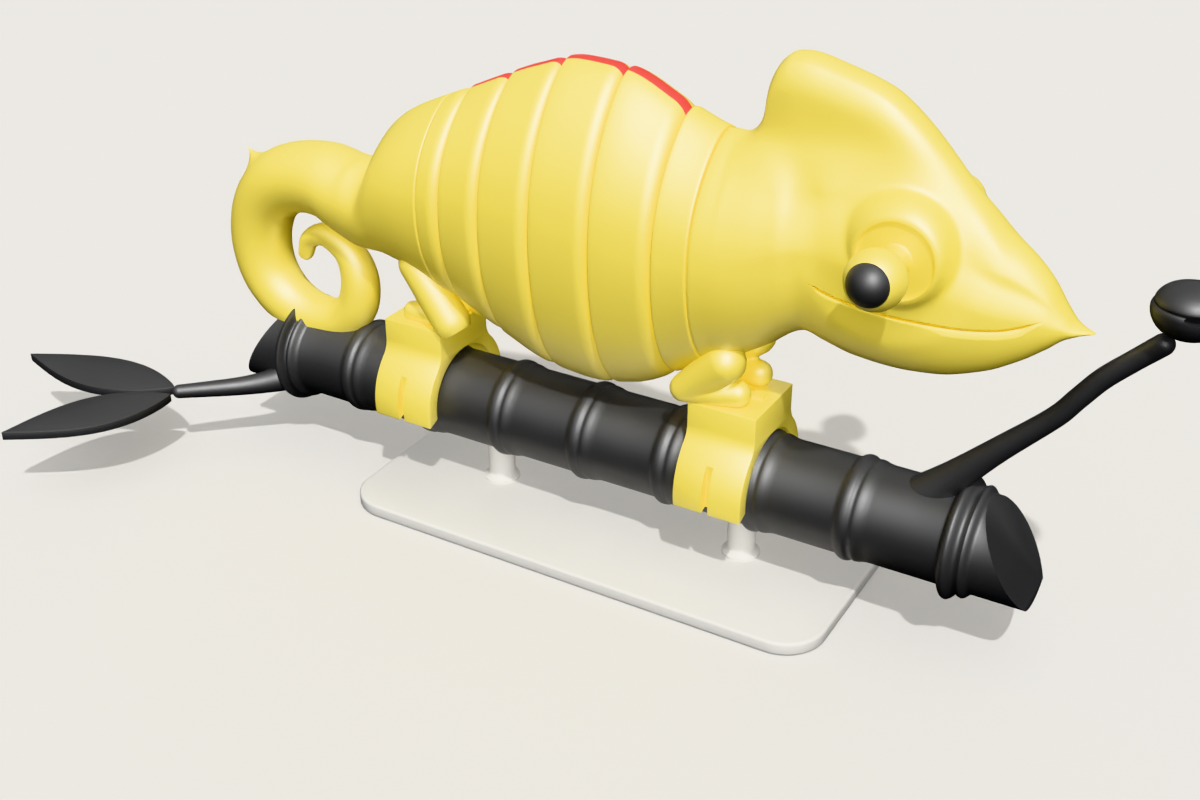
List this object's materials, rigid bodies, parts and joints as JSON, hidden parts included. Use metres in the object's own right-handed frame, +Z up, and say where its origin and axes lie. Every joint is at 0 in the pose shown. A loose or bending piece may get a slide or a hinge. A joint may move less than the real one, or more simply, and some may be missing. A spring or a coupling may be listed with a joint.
{
  "type": "toy chameleon on branch",
  "caption": "Smooth plastic toy chameleon with a ringed trunk and a coiled tail, gripping a bamboo-like branch with two clips, on a low display stand.",
  "frame": {"origin": "centre of the underside of the stand's base, on the floor", "axes": "+X along the branch towards the animal's head, +Z up, +Y to the animal's left"},
  "size_m": [0.2621, 0.0867, 0.1104],
  "materials": {
    "yellow_plastic": "satin, smooth moulded plastic",
    "red_plastic": "satin, smooth moulded plastic",
    "black_plastic": "satin black plastic",
    "stand_plastic": "pale matte plastic"
  },
  "bodies": {
    "root": {"hips": "yellow_plastic", "neck": "yellow_plastic", "head": "yellow_plastic", "ring_1": "yellow_plastic", "ring_2": "yellow_plastic", "ring_3": "yellow_plastic", "ring_4": "yellow_plastic", "ring_5": "yellow_plastic", "ring_6": "yellow_plastic", "eyeball_left": "yellow_plastic", "eyeball_right": "yellow_plastic", "tail_base": "yellow_plastic", "tail_loop": "yellow_plastic", "tail_tip": "yellow_plastic", "front_leg_left": "yellow_plastic", "front_leg_right": "yellow_plastic", "hind_leg_left": "yellow_plastic", "hind_leg_right": "yellow_plastic", "clip_front": "yellow_plastic", "clip_rear": "yellow_plastic", "crest_1": "red_plastic", "crest_2": "red_plastic", "crest_3": "red_plastic", "crest_4": "red_plastic", "pupil_left": "black_plastic", "pupil_right": "black_plastic", "branch": "black_plastic", "twig_front": "black_plastic", "twig_rear": "black_plastic", "leaf_1": "black_plastic", "leaf_2": "black_plastic", "bud": "black_plastic", "stand_base": "stand_plastic", "stand_rod_1": "stand_plastic", "stand_rod_2": "stand_plastic"}
  },
  "joints": []
}
